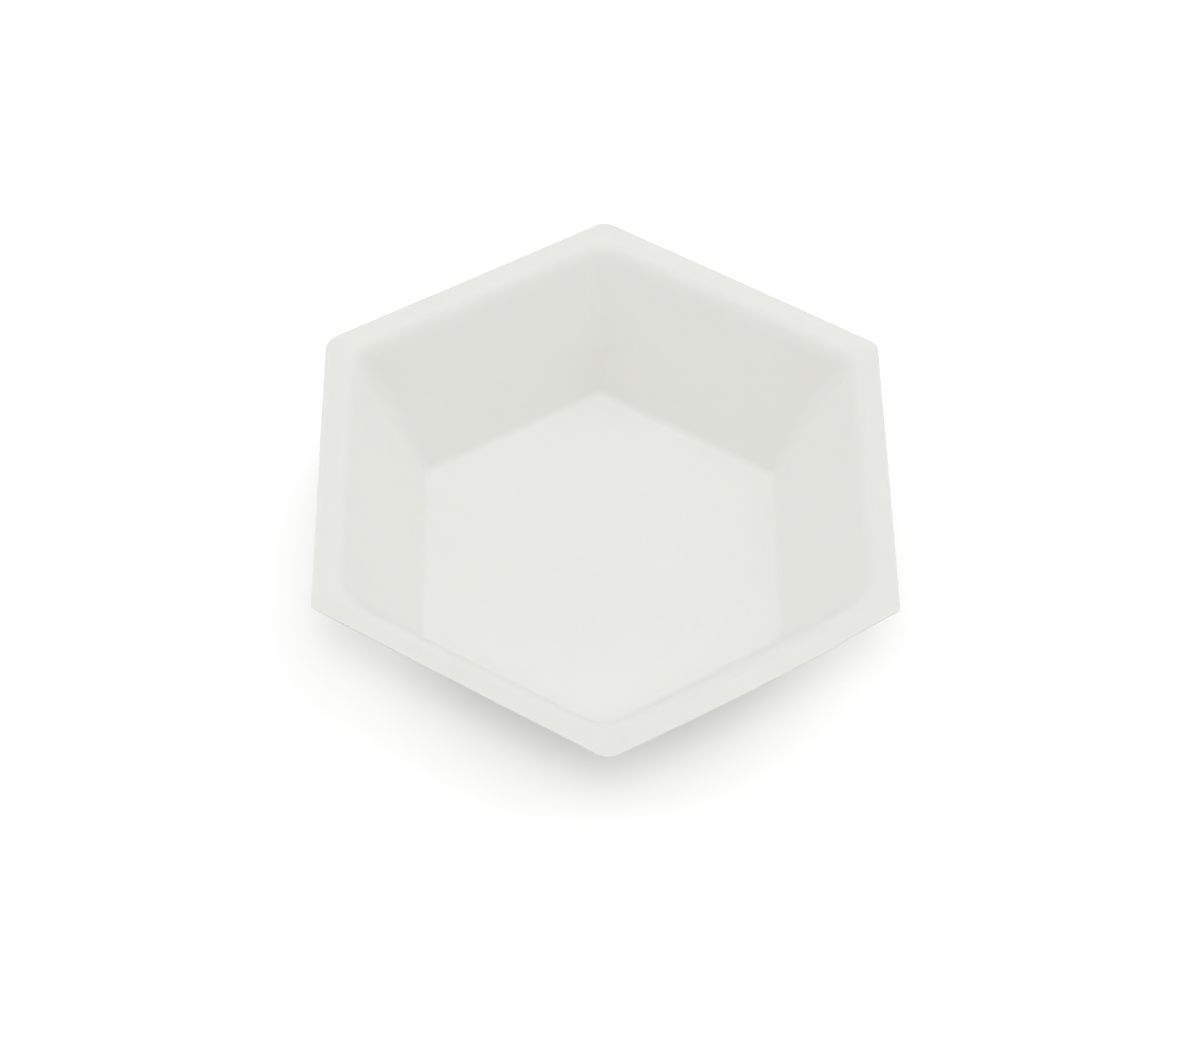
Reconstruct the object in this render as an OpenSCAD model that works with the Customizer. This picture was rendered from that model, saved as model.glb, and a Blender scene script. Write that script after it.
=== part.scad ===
// Hexagonal weighing boat, thermoformed from one thin sheet of white polystyrene.
// The sheet has one section, from the middle of the floor out to the trimmed edge of the rim.
// Each station of that section is a level ring round the dish: a hexagon with rounded corners.
// The rings of the underside and of the trimmed edge make the outer form, and those of the top
// face make the hollow that is taken out of it, which leaves the sheet.
// Z is up, the origin is the middle of the floor's underside, and two corners lie on the Y axis.

/* [Rim] */
// Width of the rim across its flats, at the trimmed edge
rim_flats = 80; // [70:0.5:110]
// Width of the flat flange, from the trimmed edge in to the start of the roll
flange_w = 2.4; // [1:0.1:6]
// Plan radius of the corners of the trimmed edge
trim_corner_r = 2; // [0.5:0.1:8]
// Radius that the cutting die leaves along the top of the trimmed edge
cut_edge_r = 0.2; // [0.05:0.05:0.2]

/* [Basin] */
// Width of the floor across its flats, out to where its plane meets the walls
floor_flats = 51; // [35:0.5:62]
// Depth from the top of the flange down to the floor
depth = 20.7; // [12:0.1:32]

/* [Bends] */
// Half-width of the ellipse that the roll follows, from the flange over into the walls
roll_w = 3.6; // [2.4:0.1:5]
// Half-height of that ellipse, so that the roll is tight at the flange and eases into the walls
roll_h = 7.2; // [2:0.1:9]
// Radius of the bend from the floor up into the walls, on the top face
foot_r = 1.2; // [0.4:0.1:4]
// Plan radius of the corners of the hollow at the roll
crest_corner_r = 4.5; // [1:0.1:8]
// Plan radius of the corners of the floor
floor_corner_r = 1.2; // [0.6:0.1:6]

/* [Sheet] */
// Thickness of the sheet
sheet_t = 0.4; // [0.25:0.05:0.7]

/* [Hidden] */

// A hexagon has six corners, and neighbouring ones are this far apart
sides = 6;
corner_step = 360 / sides;
// Steps in the arc of each plan corner, in the roll, in the bend at the floor and in the round
// top of the trimmed edge
corner_steps = 8;
roll_steps = 12;
foot_steps = 6;
cut_edge_steps = 3;
// The hollow is cut this far above the flange, clear of its top
cut_over = 1;

// Distances from the middle of the dish to its flats, and the heights of the two level faces
rim_apothem = rim_flats / 2;
floor_apothem = floor_flats / 2;
roll_apothem = rim_apothem - flange_w;
floor_z = sheet_t;
flange_z = floor_z + depth;

// The slope from level of the roll, at one turn about its centre from straight up: the turn is
// that of the circle which the ellipse becomes when its height is drawn in to its width
function roll_slope(turn) = atan2(roll_h * sin(turn), roll_w * cos(turn));

// Each wall runs from the edge of the floor up to touch the roll, whose centre lies under the
// inner edge of the flange. The turn at which they touch is found on that circle
wall_run = roll_apothem - floor_apothem;
wall_rise = (depth - roll_h) * roll_w / roll_h;
wall_turn = atan2(wall_rise, wall_run) + asin(roll_w / norm([wall_run, wall_rise]));
wall_angle = roll_slope(wall_turn);

// The bend at the floor starts this far from the middle
foot_apothem = floor_apothem - foot_r * tan(wall_angle / 2);

// Plan radius of a corner of the hollow at one distance from the middle
function corner_r(apothem) =
    floor_corner_r + (crest_corner_r - floor_corner_r)
        * (apothem - foot_apothem) / (roll_apothem - foot_apothem);

// A station is its distance from the middle, its height, the plan radius of its corners and,
// on the top face, its slope from level
function foot_station(slope) =
    let (apothem = foot_apothem + foot_r * sin(slope))
    [apothem, floor_z + foot_r * (1 - cos(slope)), corner_r(apothem), slope];

function roll_station(turn) =
    let (apothem = roll_apothem - roll_w * sin(turn))
    [apothem, flange_z - roll_h * (1 - cos(turn)), corner_r(apothem), roll_slope(turn)];

function cut_edge_station(turn) =
    let (inset = cut_edge_r * (1 - cos(turn)))
    [
        rim_apothem - inset,
        flange_z - cut_edge_r * (1 - sin(turn)),
        trim_corner_r - inset
    ];

top_stations = [
    for (i = [0 : foot_steps]) foot_station(wall_angle * i / foot_steps),
    for (i = [0 : roll_steps]) roll_station(wall_turn * (1 - i / roll_steps))
];

// The underside lies one sheet's thickness square below the top face, and a corner there
// turns about the same centre
function under_station(station) =
    let (outward = sheet_t * sin(station[3]))
    [
        station[0] + outward,
        station[1] - sheet_t * cos(station[3]),
        station[2] + outward
    ];

form_stations = [
    for (station = top_stations) under_station(station),
    [rim_apothem, flange_z - sheet_t, trim_corner_r],
    for (i = [0 : cut_edge_steps]) cut_edge_station(90 * i / cut_edge_steps)
];
hollow_stations = [
    each top_stations,
    [roll_apothem, flange_z + cut_over, crest_corner_r]
];

// The points of one station's ring, anticlockwise from the flat on +X
function ring(station) =
    let (
        radius = station[2],
        corner_reach = (station[0] - radius) / cos(corner_step / 2)
    )
    [
        for (k = [0 : sides - 1], i = [0 : corner_steps])
            let (
                corner = corner_step * (k + 0.5),
                turn = corner_step * (k + i / corner_steps)
            )
            [
                corner_reach * cos(corner) + radius * cos(turn),
                corner_reach * sin(corner) + radius * sin(turn),
                station[1]
            ]
    ];

ring_size = sides * (corner_steps + 1);

// A closed solid through a list of stations, from the lowest ring up to the highest
module ring_stack(stations) {
    last = len(stations) - 1;
    bands = [
        for (j = [0 : last - 1], i = [0 : ring_size - 1])
            let (
                next = (i + 1) % ring_size,
                low = j * ring_size,
                high = low + ring_size
            )
            [low + i, high + i, high + next, low + next]
    ];
    base = [for (i = [0 : ring_size - 1]) i];
    lid = [for (i = [ring_size - 1 : -1 : 0]) last * ring_size + i];
    polyhedron(
        points = [for (station = stations) each ring(station)],
        faces = concat([base], bands, [lid]),
        convexity = 4
    );
}

module boat() {
    color([0.91, 0.91, 0.89])
        difference() {
            ring_stack(form_stations);
            ring_stack(hollow_stations);
        }
}

boat();
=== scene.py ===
"""The looks of a hexagonal weighing boat, thermoformed from one sheet of white polystyrene.

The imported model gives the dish's size and place. The sheet is built again here as one fine,
smooth mesh of the same section, with the small unevenness of a thin pressing, and it stands for
the CAD node. Everything is in metres, with Z up and two corners of the dish on the Y axis.
"""

import copy
import math

import bpy
from mathutils import Matrix, Vector


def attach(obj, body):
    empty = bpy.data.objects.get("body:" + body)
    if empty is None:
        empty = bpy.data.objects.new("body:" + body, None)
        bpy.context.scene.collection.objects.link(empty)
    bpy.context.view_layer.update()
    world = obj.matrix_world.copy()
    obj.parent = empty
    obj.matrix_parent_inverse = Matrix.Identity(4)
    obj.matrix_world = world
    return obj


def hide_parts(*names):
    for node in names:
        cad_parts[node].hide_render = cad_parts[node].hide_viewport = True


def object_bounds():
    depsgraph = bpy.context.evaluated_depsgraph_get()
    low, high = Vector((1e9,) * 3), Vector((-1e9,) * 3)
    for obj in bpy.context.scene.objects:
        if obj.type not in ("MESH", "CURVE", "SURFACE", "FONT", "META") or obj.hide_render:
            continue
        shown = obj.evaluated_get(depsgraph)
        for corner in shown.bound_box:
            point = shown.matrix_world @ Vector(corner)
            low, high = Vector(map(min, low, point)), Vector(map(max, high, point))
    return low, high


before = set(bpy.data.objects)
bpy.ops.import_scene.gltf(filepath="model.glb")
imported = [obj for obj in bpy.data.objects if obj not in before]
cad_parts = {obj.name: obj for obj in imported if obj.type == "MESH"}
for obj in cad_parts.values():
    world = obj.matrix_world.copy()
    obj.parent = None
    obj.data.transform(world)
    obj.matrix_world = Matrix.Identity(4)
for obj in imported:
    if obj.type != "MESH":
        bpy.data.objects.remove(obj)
cad_low, cad_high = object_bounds()

MM = 0.001

# The sheet's section, with the sizes that the CAD's source gives it
SHEET_T = 0.4 * MM
FLANGE_W = 2.4 * MM
FLOOR_FLATS = 51.0 * MM
ROLL_W = 3.6 * MM
ROLL_H = 7.2 * MM
FOOT_R = 1.2 * MM
CUT_EDGE_R = 0.2 * MM
FLOOR_CORNER_R = 1.2 * MM
# The plan corners of the walls are rounder between the floor and the roll, by this at half way
WALL_CORNER_SWELL = 1.5 * MM

# The unevenness of this one pressing, in millimetres. Corners run anticlockwise from the one at
# the back right, and flats from the one on +X. The corners of the trimmed edge, of the roll and
# of the floor each have a shift of their own across the dish, and the first two have a plan
# radius of their own. A flat bows outward by so much at its middle, from the roll out, and less
# down the wall.
TRIM_SHIFTS = ((-0.1, 0.0), (0.5, -0.15), (0.0, 0.0), (0.1, 0.3), (0.0, -0.05), (-0.1, 0.28))
TRIM_RADII = (1.9, 2.7, 3.0, 0.5, 2.8, 1.3)
CREST_SHIFTS = ((-0.1, -0.15), (0.0, -0.15), (0.15, 0.0), (0.0, 0.0), (0.0, 0.0), (0.0, 0.0))
CREST_RADII = (3.0, 3.6, 3.0, 6.5, 7.0, 6.5)
FLOOR_SHIFTS = ((0.32, -0.28), (0.1, 0.15), (-0.3, -0.1), (-0.1, 0.0), (0.0, 0.0), (0.15, 0.0))
BOWS = (0.0, 0.05, -0.05, 0.0, 0.05, 0.35)
# The die's cut drifts outward along the front right flat, at a rate of this over its whole
# length, and steps back in before its last corner, between these shares of that length
STEPPED_FLAT = 5
DRIFT = 0.33
STEP_START = 0.75
STEP_END = 0.83

# How white the sheet's colour is along its section, partly its own tone and partly painted light
# and shade. The floor, which keeps most of its thickness, is whitest, and the walls, drawn thin, a
# little greyer. The foot of the wall is darker, painted shade that takes back some of the light the
# floor bounces onto it, and the flange is a little darker than the floor. The creases between the
# walls are lighter, painted light that lifts the shade in them, by less as they near the roll, and
# the face that the die cuts is much lighter, painted light on a face that gets little light.
FLOOR_TONE = 1.002
FOOT_PAINTED_SHADE_TONE = 0.98
WALL_TONE = 0.995
CREASE_PAINTED_LIGHT = 0.005
CREASE_AT_CREST = 0.5
FLANGE_TONE = 0.99
CUT_PAINTED_LIGHT_TONE = 1.1
# The painted light and shade that each flat's side of the dish adds to that, lightening or
# darkening each side for how the light falls on it: out towards the edge of the floor, on the
# wall, in the roll's bend and on the flange. The bend's painted light also changes along a flat,
# from its first corner to its last.
FLOOR_PAINTED_SHADING = (0.017, 0.022, 0.011, 0.006, -0.004, -0.004)
WALL_PAINTED_SHADING = (0.01, -0.006, -0.007, 0.001, 0.015, 0.018)
BEND_PAINTED_SHADING = (
    (0.0, 0.0), (0.004, 0.004), (0.004, 0.004), (0.0, 0.0), (0.015, -0.004), (0.03, 0.04),
)
FLANGE_PAINTED_SHADING = (-0.02, 0.004, 0.002, -0.017, -0.022, -0.018)
# The bend's painted light builds up along the wall and is full in the roll, until this share of
# the roll's turn is left before the flange
FULL_BEND = 0.75

# How finely the mesh is divided
SIDES = 6
CORNER_STEP = math.radians(360 / SIDES)
CORNER_STEPS = 12
FLAT_STEPS = 40
ROLL_STEPS = 20
FOOT_STEPS = 10
WALL_STEPS = 16
FLOOR_STEPS = 14
FLANGE_STEPS = 6
EDGE_STEPS = 4
# Edges that turn by more than this are shaded as sharp
SHARP_ANGLE = math.radians(50)


def lerp(a, b, t):
    """The value a share t of the way from a to b."""
    return a + (b - a) * t


def eased(t):
    """A share that starts and ends level, held between 0 and 1."""
    t = min(1.0, max(0.0, t))
    return t * t * (3 - 2 * t)


def arched(t):
    """An arch over the shares from 0 to 1, which is 1 high in the middle and 0 at both ends."""
    return 4 * t * (1 - t)


class Station:
    """One place along the sheet's section: its distance from the middle, its height, its slope
    from level and its tone. It takes these shares of the unevenness of the trimmed edge, the
    roll and the floor, and of what its zones of the dish add to its tone."""

    def __init__(
        self, apothem, height, slope, tone, rim_share=0.0, crest_share=0.0, floor_share=0.0,
        **zones,
    ):
        self.apothem = apothem
        self.height = height
        self.slope = slope
        self.tone = tone
        self.rim_share = rim_share
        self.crest_share = crest_share
        self.floor_share = floor_share
        self.zones = zones

    def under(self):
        """The place on the underside that lies one sheet's thickness square below this one."""
        below = copy.copy(self)
        below.apothem += SHEET_T * math.sin(self.slope)
        below.height -= SHEET_T * math.cos(self.slope)
        return below


class Section:
    """The section of the sheet, from the middle of the floor out to the trimmed edge."""

    def __init__(self, low, high):
        self.rim = (high.x - low.x) / 2
        self.top = high.z
        self.floor_z = low.z + SHEET_T
        self.roll = self.rim - FLANGE_W
        # With heights squeezed until the roll is round, the wall is the line from the edge of
        # the floor that touches it
        run = self.roll - FLOOR_FLATS / 2
        rise = (self.top - self.floor_z - ROLL_H) * ROLL_W / ROLL_H
        self.roll_turn = math.atan2(rise, run) + math.asin(ROLL_W / math.hypot(run, rise))
        self.wall_angle = self.roll_slope(self.roll_turn)
        self.foot = FLOOR_FLATS / 2 - FOOT_R * math.tan(self.wall_angle / 2)

    def roll_slope(self, turn):
        """The roll's slope from level, at one turn about its centre from straight up."""
        return math.atan2(ROLL_H * math.sin(turn), ROLL_W * math.cos(turn))

    def floor(self):
        for i in range(1, FLOOR_STEPS):
            share = i / FLOOR_STEPS
            yield Station(
                self.foot * share, self.floor_z, 0.0, FLOOR_TONE, floor_share=share, floor=share
            )

    def foot_bend(self):
        for i in range(FOOT_STEPS + 1):
            share = i / FOOT_STEPS
            slope = self.wall_angle * share
            # The tone darkens from the floor's into the painted shade at the foot of the wall
            yield Station(
                self.foot + FOOT_R * math.sin(slope),
                self.floor_z + FOOT_R * (1 - math.cos(slope)),
                slope, lerp(FLOOR_TONE, FOOT_PAINTED_SHADE_TONE, share), floor_share=1.0,
                floor=1 - share, wall=share, crease=share,
            )

    def wall(self, foot_end, roll_start):
        for i in range(1, WALL_STEPS):
            share = i / WALL_STEPS
            yield Station(
                lerp(foot_end.apothem, roll_start.apothem, share),
                lerp(foot_end.height, roll_start.height, share),
                self.wall_angle, lerp(FOOT_PAINTED_SHADE_TONE, WALL_TONE, share),
                crest_share=share, floor_share=1 - share,
                wall=1.0, bend=share**2, crease=lerp(1.0, CREASE_AT_CREST, share),
            )

    def roll_over(self):
        for i in range(ROLL_STEPS + 1):
            share = 1 - i / ROLL_STEPS
            turn = self.roll_turn * share
            yield Station(
                self.roll - ROLL_W * math.sin(turn),
                self.top - ROLL_H * (1 - math.cos(turn)),
                self.roll_slope(turn), lerp(FLANGE_TONE, WALL_TONE, share), crest_share=1.0,
                wall=share, bend=math.sin(math.pi / 2 * min(1.0, share / FULL_BEND)) ** 2,
                crease=CREASE_AT_CREST * share, flange=1 - share,
            )

    def flange(self):
        inner_end = self.rim - CUT_EDGE_R
        for i in range(1, FLANGE_STEPS + 1):
            apothem = lerp(self.roll, inner_end, i / FLANGE_STEPS)
            yield Station(
                apothem, self.top, 0.0, FLANGE_TONE, *self.flange_shares(apothem), flange=1.0
            )

    def cut_edge(self, height, up):
        """The round that the cutting die leaves, out from the flange's top face or underside."""
        for i in range(1, EDGE_STEPS + 1):
            share = i / EDGE_STEPS
            turn = math.pi / 2 * share
            apothem = self.rim - CUT_EDGE_R * (1 - math.sin(turn))
            # The tone turns from the flange's to the painted light on the cut face
            yield Station(
                apothem, height - up * CUT_EDGE_R * (1 - math.cos(turn)), 0.0,
                lerp(FLANGE_TONE, CUT_PAINTED_LIGHT_TONE, share**2), *self.flange_shares(apothem),
                flange=1 - share,
            )

    def flange_shares(self, apothem):
        """The shares of the trimmed edge's and of the roll's unevenness, out on the flange."""
        share = (apothem - self.roll) / FLANGE_W
        return share, 1 - share

    def path(self):
        """Every station from the middle of the underside out, round the edge and back in."""
        foot_bend = list(self.foot_bend())
        roll_over = list(self.roll_over())
        wall = list(self.wall(foot_bend[-1], roll_over[0]))
        face = list(self.floor()) + foot_bend + wall + roll_over + list(self.flange())
        edge_below = list(self.cut_edge(self.top - SHEET_T, -1))
        edge_above = list(self.cut_edge(self.top, 1))
        # The two rounds meet half way up the edge
        below = [station.under() for station in face] + edge_below[:-1]
        above = face + edge_above
        return below + above[::-1]

    def corner_radius(self, station, corner):
        """Plan radius of one corner of a station's ring."""
        crest_radius = CREST_RADII[corner] * MM
        if station.rim_share > 0:
            return lerp(crest_radius, TRIM_RADII[corner] * MM, station.rim_share)
        share = (station.apothem - self.foot) / (self.roll - self.foot)
        if share < 0:
            return FLOOR_CORNER_R * station.apothem / self.foot
        swell = WALL_CORNER_SWELL * math.sin(math.pi * min(1.0, share))
        return lerp(FLOOR_CORNER_R, crest_radius, share) + swell


def ring_corner(station, corner):
    """Where the two flats beside a corner of the ring would meet."""
    angle = CORNER_STEP * (corner + 0.5)
    reach = station.apothem / math.cos(CORNER_STEP / 2)
    point = Vector((math.cos(angle), math.sin(angle))) * reach
    point += Vector(TRIM_SHIFTS[corner]) * MM * station.rim_share
    point += Vector(CREST_SHIFTS[corner]) * MM * station.crest_share
    point += Vector(FLOOR_SHIFTS[corner]) * MM * station.floor_share
    return point


def ring(section, station):
    """One station's points, anticlockwise: each corner's arc and then the flat after it."""
    corners = [ring_corner(station, k) for k in range(SIDES)]
    arcs = []
    for k, corner in enumerate(corners):
        before = (corner - corners[k - 1]).normalized()
        after = (corners[(k + 1) % SIDES] - corner).normalized()
        turn = before.angle(after)
        radius = section.corner_radius(station, k)
        start = corner - before * radius * math.tan(turn / 2)
        middle = start + Vector((-before.y, before.x)) * radius
        first = math.atan2(-before.x, before.y)
        arcs.append([
            middle + Vector((
                math.cos(first + turn * i / CORNER_STEPS),
                math.sin(first + turn * i / CORNER_STEPS),
            )) * radius
            for i in range(CORNER_STEPS + 1)
        ])
    points = []
    for k in range(SIDES):
        points += arcs[k][:-1]
        start, end = arcs[k][-1], arcs[(k + 1) % SIDES][0]
        out = Vector((end.y - start.y, start.x - end.x)).normalized()
        flat = (k + 1) % SIDES
        points += [
            start.lerp(end, i / FLAT_STEPS) + out * MM * unevenness(station, flat, i / FLAT_STEPS)
            for i in range(FLAT_STEPS)
        ]
    return [(p.x, p.y, station.height) for p in points]


def unevenness(station, flat, share):
    """How far a flat stands out of its straight line, in mm, at a share of its length."""
    bow = BOWS[flat] * (station.rim_share + station.crest_share)
    out = bow * arched(share)
    if flat == STEPPED_FLAT:
        wide = 1 - eased((share - STEP_START) / (STEP_END - STEP_START))
        out += DRIFT * station.rim_share * share * wide
    return out


def along(by_flat_ends):
    """Two values for each flat, one at each end, drawn out over the points of a ring."""
    values = []
    for k in range(SIDES):
        before = by_flat_ends[k][1]
        first, last = by_flat_ends[(k + 1) % SIDES]
        values += [lerp(before, first, i / CORNER_STEPS) for i in range(CORNER_STEPS)]
        values += [lerp(first, last, i / FLAT_STEPS) for i in range(FLAT_STEPS)]
    return values


def around(by_flat):
    """One value for each flat, drawn out over the points of a ring."""
    return along([(value, value) for value in by_flat])


def blended(by_flat):
    """One value for the middle of each flat, blended from each middle to the next."""
    values = []
    for k in range(SIDES):
        before, here, after = (by_flat[(k + n) % SIDES] for n in range(3))
        values += [(before + here) / 2] * CORNER_STEPS
        for i in range(FLAT_STEPS):
            off = i / FLAT_STEPS - 0.5
            values.append(lerp(here, before if off < 0 else after, eased(abs(off))))
    return values


def crease_painted_light():
    """The painted light that lifts the shade in the creases between the walls, over the points of a
    ring.
    """
    arc = [math.sin(math.pi * i / CORNER_STEPS) * CREASE_PAINTED_LIGHT for i in range(CORNER_STEPS)]
    return (arc + [0.0] * FLAT_STEPS) * SIDES


def sheet_mesh(section):
    path = section.path()
    size = SIDES * (FLAT_STEPS + CORNER_STEPS)
    verts, tones, faces = [], [], []
    painted_shading = {
        "floor": blended(FLOOR_PAINTED_SHADING),
        "wall": around(WALL_PAINTED_SHADING),
        "bend": along(BEND_PAINTED_SHADING),
        "flange": around(FLANGE_PAINTED_SHADING),
        "crease": crease_painted_light(),
    }
    for station in path:
        verts += ring(section, station)
        # Each point's tone is its station's tone plus the painted light and shade of its zones
        tones += [
            station.tone + sum(share * painted_shading[zone][i] for zone, share in station.zones.items())
            for i in range(size)
        ]
    for j in range(len(path) - 1):
        low, high = j * size, (j + 1) * size
        for i in range(size):
            n = (i + 1) % size
            faces.append((low + i, low + n, high + n, high + i))
    # The middle of the floor, below and above
    below = len(verts)
    above = below + 1
    last = (len(path) - 1) * size
    verts += [(0, 0, path[0].height), (0, 0, path[-1].height)]
    tones += [FLOOR_TONE, FLOOR_TONE]
    for i in range(size):
        n = (i + 1) % size
        faces.append((below, n, i))
        faces.append((above, last + i, last + n))
    mesh = bpy.data.meshes.new("boat_sheet")
    mesh.from_pydata(verts, [], faces)
    mesh.update()
    mesh.attributes.new("tone", "FLOAT", "POINT").data.foreach_set("value", tones)
    mesh.shade_smooth()
    mesh.set_sharp_from_angle(angle=SHARP_ANGLE)
    return mesh


class Nodes:
    """A node tree that is being built, with short ways to add and join its nodes."""

    def __init__(self, tree):
        self.tree = tree
        tree.nodes.clear()

    def add(self, kind, **settings):
        node = self.tree.nodes.new(kind)
        for name, value in settings.items():
            setattr(node, name, value)
        return node

    def join(self, source, target):
        self.tree.links.new(source, target)

    def math(self, operation, *values):
        node = self.add("ShaderNodeMath", operation=operation)
        for socket, value in zip(node.inputs, values):
            if isinstance(value, (int, float)):
                socket.default_value = value
            else:
                self.join(value, socket)
        return node.outputs[0]

    def seen(self):
        """1 for what the camera sees, straight or in gloss or glass, and 0 for what only lights."""
        path = self.add("ShaderNodeLightPath")
        by_eye = self.math("MAXIMUM", path.outputs["Is Camera Ray"], path.outputs["Is Glossy Ray"])
        return self.math("MAXIMUM", by_eye, path.outputs["Is Transmission Ray"])

    def lit_or_shown(self, lit, shown, output):
        """Gives the output one shader for what lights and the other for what is seen."""
        mix = self.add("ShaderNodeMixShader")
        self.join(self.seen(), mix.inputs[0])
        self.join(lit.outputs[0], mix.inputs[1])
        self.join(shown.outputs[0], mix.inputs[2])
        self.join(mix.outputs[0], self.add(output).inputs["Surface"])


# Polystyrene: its colour where the tone is 1, how far light spreads inside it, in mm and as a
# share of that in red, green and blue, the faint mottling of a rolled sheet, the fine matt grain,
# and how rough it is, give or take what the mottling changes
BASE = (0.877, 0.879, 0.852)
GLOW_MM = 0.25
GLOW_BY_COLOUR = (1.0, 0.95, 0.85)
MOTTLE_MM = 6.0
MOTTLE_DETAIL = 3.0
MOTTLE = 0.008
GRAIN_MM = 0.35
GRAIN_DETAIL = 2.0
GRAIN_HEIGHT_MM = 0.004
ROUGHNESS = 0.5
ROUGHNESS_SPREAD = 0.08


def polystyrene():
    material = bpy.data.materials.new("polystyrene")
    material.use_nodes = True
    nodes = Nodes(material.node_tree)
    place = nodes.add("ShaderNodeTexCoord").outputs["Object"]

    def noise(size_mm, detail):
        """Even noise with features of about this size, as a value from -1 to 1."""
        node = nodes.add("ShaderNodeTexNoise")
        nodes.join(place, node.inputs["Vector"])
        node.inputs["Scale"].default_value = 1 / (size_mm * MM)
        node.inputs["Detail"].default_value = detail
        return nodes.math("MULTIPLY_ADD", node.outputs["Fac"], 2.0, -1.0)

    mottle = noise(MOTTLE_MM, MOTTLE_DETAIL)
    grain = noise(GRAIN_MM, GRAIN_DETAIL)
    # The tone carries the painted light and shade of the sheet's zones; the mottling is the sheet's
    # own
    tone = nodes.add("ShaderNodeAttribute", attribute_name="tone").outputs["Fac"]
    whiteness = nodes.math("MULTIPLY", tone, nodes.math("MULTIPLY_ADD", mottle, MOTTLE, 1.0))
    roughness = nodes.math("MULTIPLY_ADD", mottle, ROUGHNESS_SPREAD, ROUGHNESS)
    colour = nodes.add("ShaderNodeVectorMath", operation="SCALE")
    colour.inputs["Vector"].default_value = BASE
    nodes.join(whiteness, colour.inputs["Scale"])
    relief = nodes.add("ShaderNodeBump")
    relief.inputs["Strength"].default_value = 1.0
    relief.inputs["Distance"].default_value = GRAIN_HEIGHT_MM * MM
    nodes.join(grain, relief.inputs["Height"])

    plastic = nodes.add("ShaderNodeBsdfPrincipled")
    nodes.join(colour.outputs["Vector"], plastic.inputs["Base Color"])
    nodes.join(roughness, plastic.inputs["Roughness"])
    nodes.join(relief.outputs["Normal"], plastic.inputs["Normal"])
    plastic.inputs["Subsurface Weight"].default_value = 1.0
    plastic.inputs["Subsurface Radius"].default_value = GLOW_BY_COLOUR
    plastic.inputs["Subsurface Scale"].default_value = GLOW_MM * MM
    nodes.join(plastic.outputs["BSDF"], nodes.add("ShaderNodeOutputMaterial").inputs["Surface"])
    return material


# The dish
sheet = bpy.data.objects.new("boat_sheet", sheet_mesh(Section(cad_low, cad_high)))
bpy.context.scene.collection.objects.link(sheet)
sheet.data.materials.append(polystyrene())
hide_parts("boat")
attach(sheet, "root")

# The ground under the dish, in metres. It shows the shadow to the camera and burns out to plain
# white beyond it, and it lights the dish as a greyer ground would.
GROUND_SIZE = 6.0
GROUND_GAP = 0.0001
GROUND_SHOWN = 1.27
GROUND_LIT = 0.5


def ground():
    half = GROUND_SIZE / 2
    corners = [(-half, -half), (half, -half), (half, half), (-half, half)]
    mesh = bpy.data.meshes.new("ground")
    mesh.from_pydata([(x, y, cad_low.z - GROUND_GAP) for x, y in corners], [], [(0, 1, 2, 3)])
    material = bpy.data.materials.new("ground")
    material.use_nodes = True
    nodes = Nodes(material.node_tree)
    lit = nodes.add("ShaderNodeBsdfDiffuse")
    lit.inputs["Color"].default_value = (GROUND_LIT, GROUND_LIT, GROUND_LIT, 1)
    shown = nodes.add("ShaderNodeBsdfDiffuse")
    shown.inputs["Color"].default_value = (GROUND_SHOWN, GROUND_SHOWN, GROUND_SHOWN, 1)
    nodes.lit_or_shown(lit, shown, "ShaderNodeOutputMaterial")
    mesh.materials.append(material)
    plane = bpy.data.objects.new("ground", mesh)
    bpy.context.scene.collection.objects.link(plane)


ground()

# The lights of a studio round the dish, as soft lobes of the sky. Each has its azimuth from +Y
# towards +X and its elevation in degrees, how tightly it is gathered, and its strength.
SKY = (
    (180, 68, 60, 6.2),
    (0, 90, 10, 0.35),
    (270, 50, 10, 1.17),
    (315, 50, 10, 0.4),
    (45, 50, 10, 0.82),
    (90, 50, 10, 1.08),
    (45, 15, 10, 1.18),
    (135, 15, 10, 1.36),
    (225, 15, 10, 1.36),
    (315, 15, 10, 1.29),
)


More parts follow.
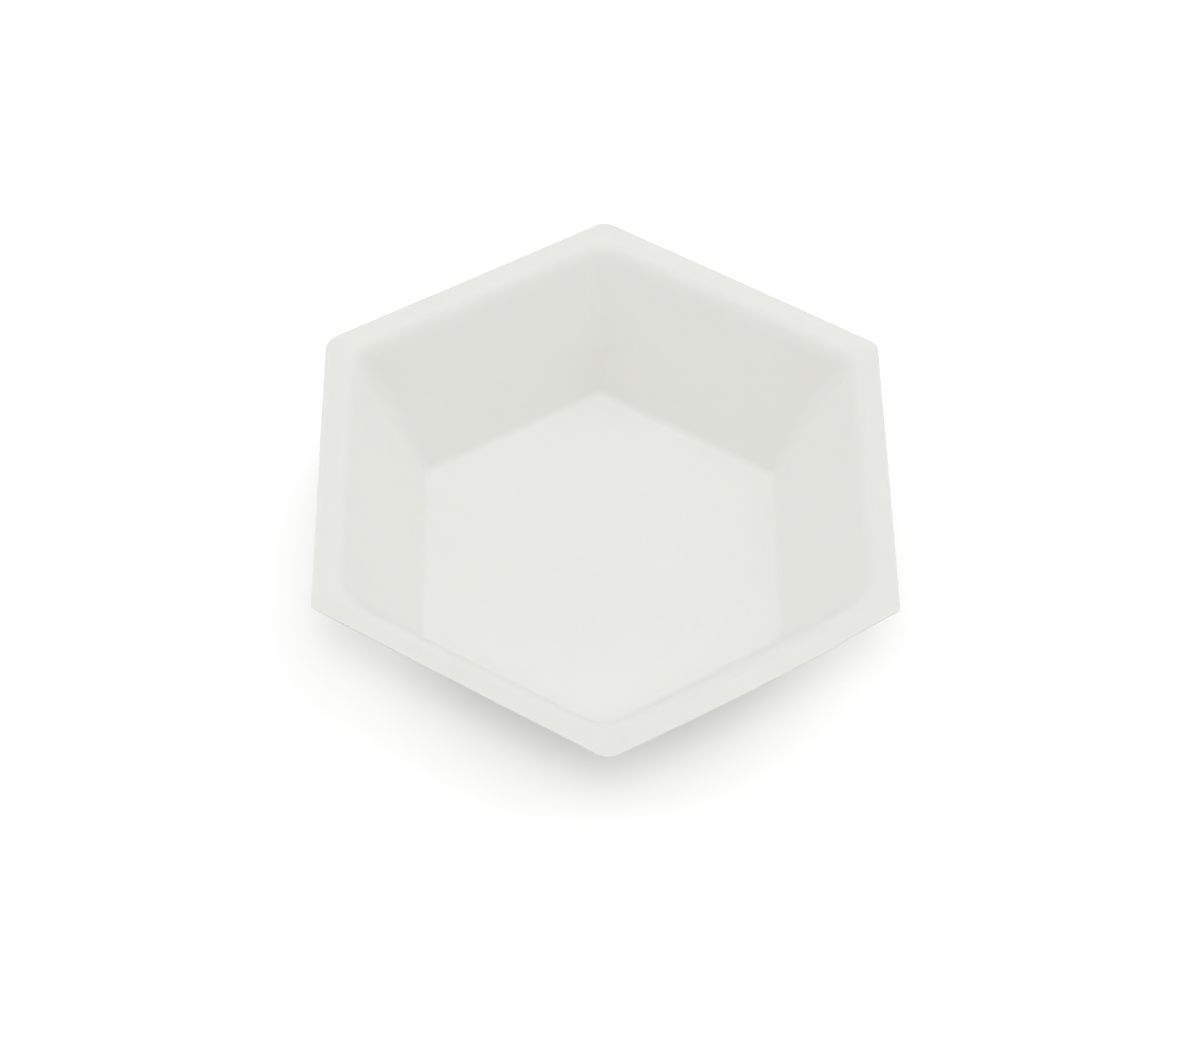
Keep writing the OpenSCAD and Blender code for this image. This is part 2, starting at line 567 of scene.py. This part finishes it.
def sky():
    world = bpy.data.worlds.new("studio")
    world.use_nodes = True
    nodes = Nodes(world.node_tree)
    towards = nodes.add("ShaderNodeTexCoord").outputs["Generated"]
    total = 0.0
    for azimuth, elevation, tightness, strength in SKY:
        turn = Matrix.Rotation(-math.radians(azimuth), 3, "Z")
        tilt = Matrix.Rotation(math.radians(elevation), 3, "X")
        dot = nodes.add("ShaderNodeVectorMath", operation="DOT_PRODUCT")
        nodes.join(towards, dot.inputs[0])
        dot.inputs[1].default_value = turn @ tilt @ Vector((0, 1, 0))
        facing = nodes.math("MAXIMUM", dot.outputs["Value"], 0.0)
        lobe = nodes.math("POWER", facing, tightness)
        total = nodes.math("MULTIPLY_ADD", lobe, strength, total)
    lit = nodes.add("ShaderNodeBackground")
    nodes.join(total, lit.inputs["Color"])
    shown = nodes.add("ShaderNodeBackground")
    shown.inputs["Color"].default_value = (1, 1, 1, 1)
    nodes.lit_or_shown(lit, shown, "ShaderNodeOutputWorld")
    bpy.context.scene.world = world


sky()

# The camera, fitted to the outline of the rim and the floor in the photo. It looks down by PITCH,
# is rolled by ROLL about its own axis, and the dish is turned by YAW before it. Without the roll,
# the middle of the floor's top face lies so far ACROSS to the right of the axis, UP above it and
# AWAY along it. These go by REACH, the distance from the middle of the rim to its corners.
PITCH = math.radians(55.56)
ROLL = math.radians(2.48)
YAW = math.radians(2.61)
LENS_MM = 82.61
SENSOR_MM = 36
REACH = (cad_high.x - cad_low.x) / 2 / math.cos(CORNER_STEP / 2)
ACROSS = 0.00667 * REACH
UP = -0.07518 * REACH
AWAY = 8.7109 * REACH


def camera():
    data = bpy.data.cameras.new("camera")
    data.sensor_width = SENSOR_MM
    data.lens = LENS_MM
    cam = bpy.data.objects.new("camera", data)
    bpy.context.scene.collection.objects.link(cam)
    middle = Matrix.Translation((0, 0, cad_low.z + SHEET_T))
    turn = Matrix.Rotation(-YAW, 4, "Z")
    tilt = Matrix.Rotation(math.pi / 2 - PITCH, 4, "X")
    back = Matrix.Translation((-ACROSS, -UP, AWAY))
    cam.matrix_world = middle @ turn @ tilt @ back @ Matrix.Rotation(ROLL, 4, "Z")
    bpy.context.scene.camera = cam


camera()
bpy.context.scene.view_settings.view_transform = "Standard"
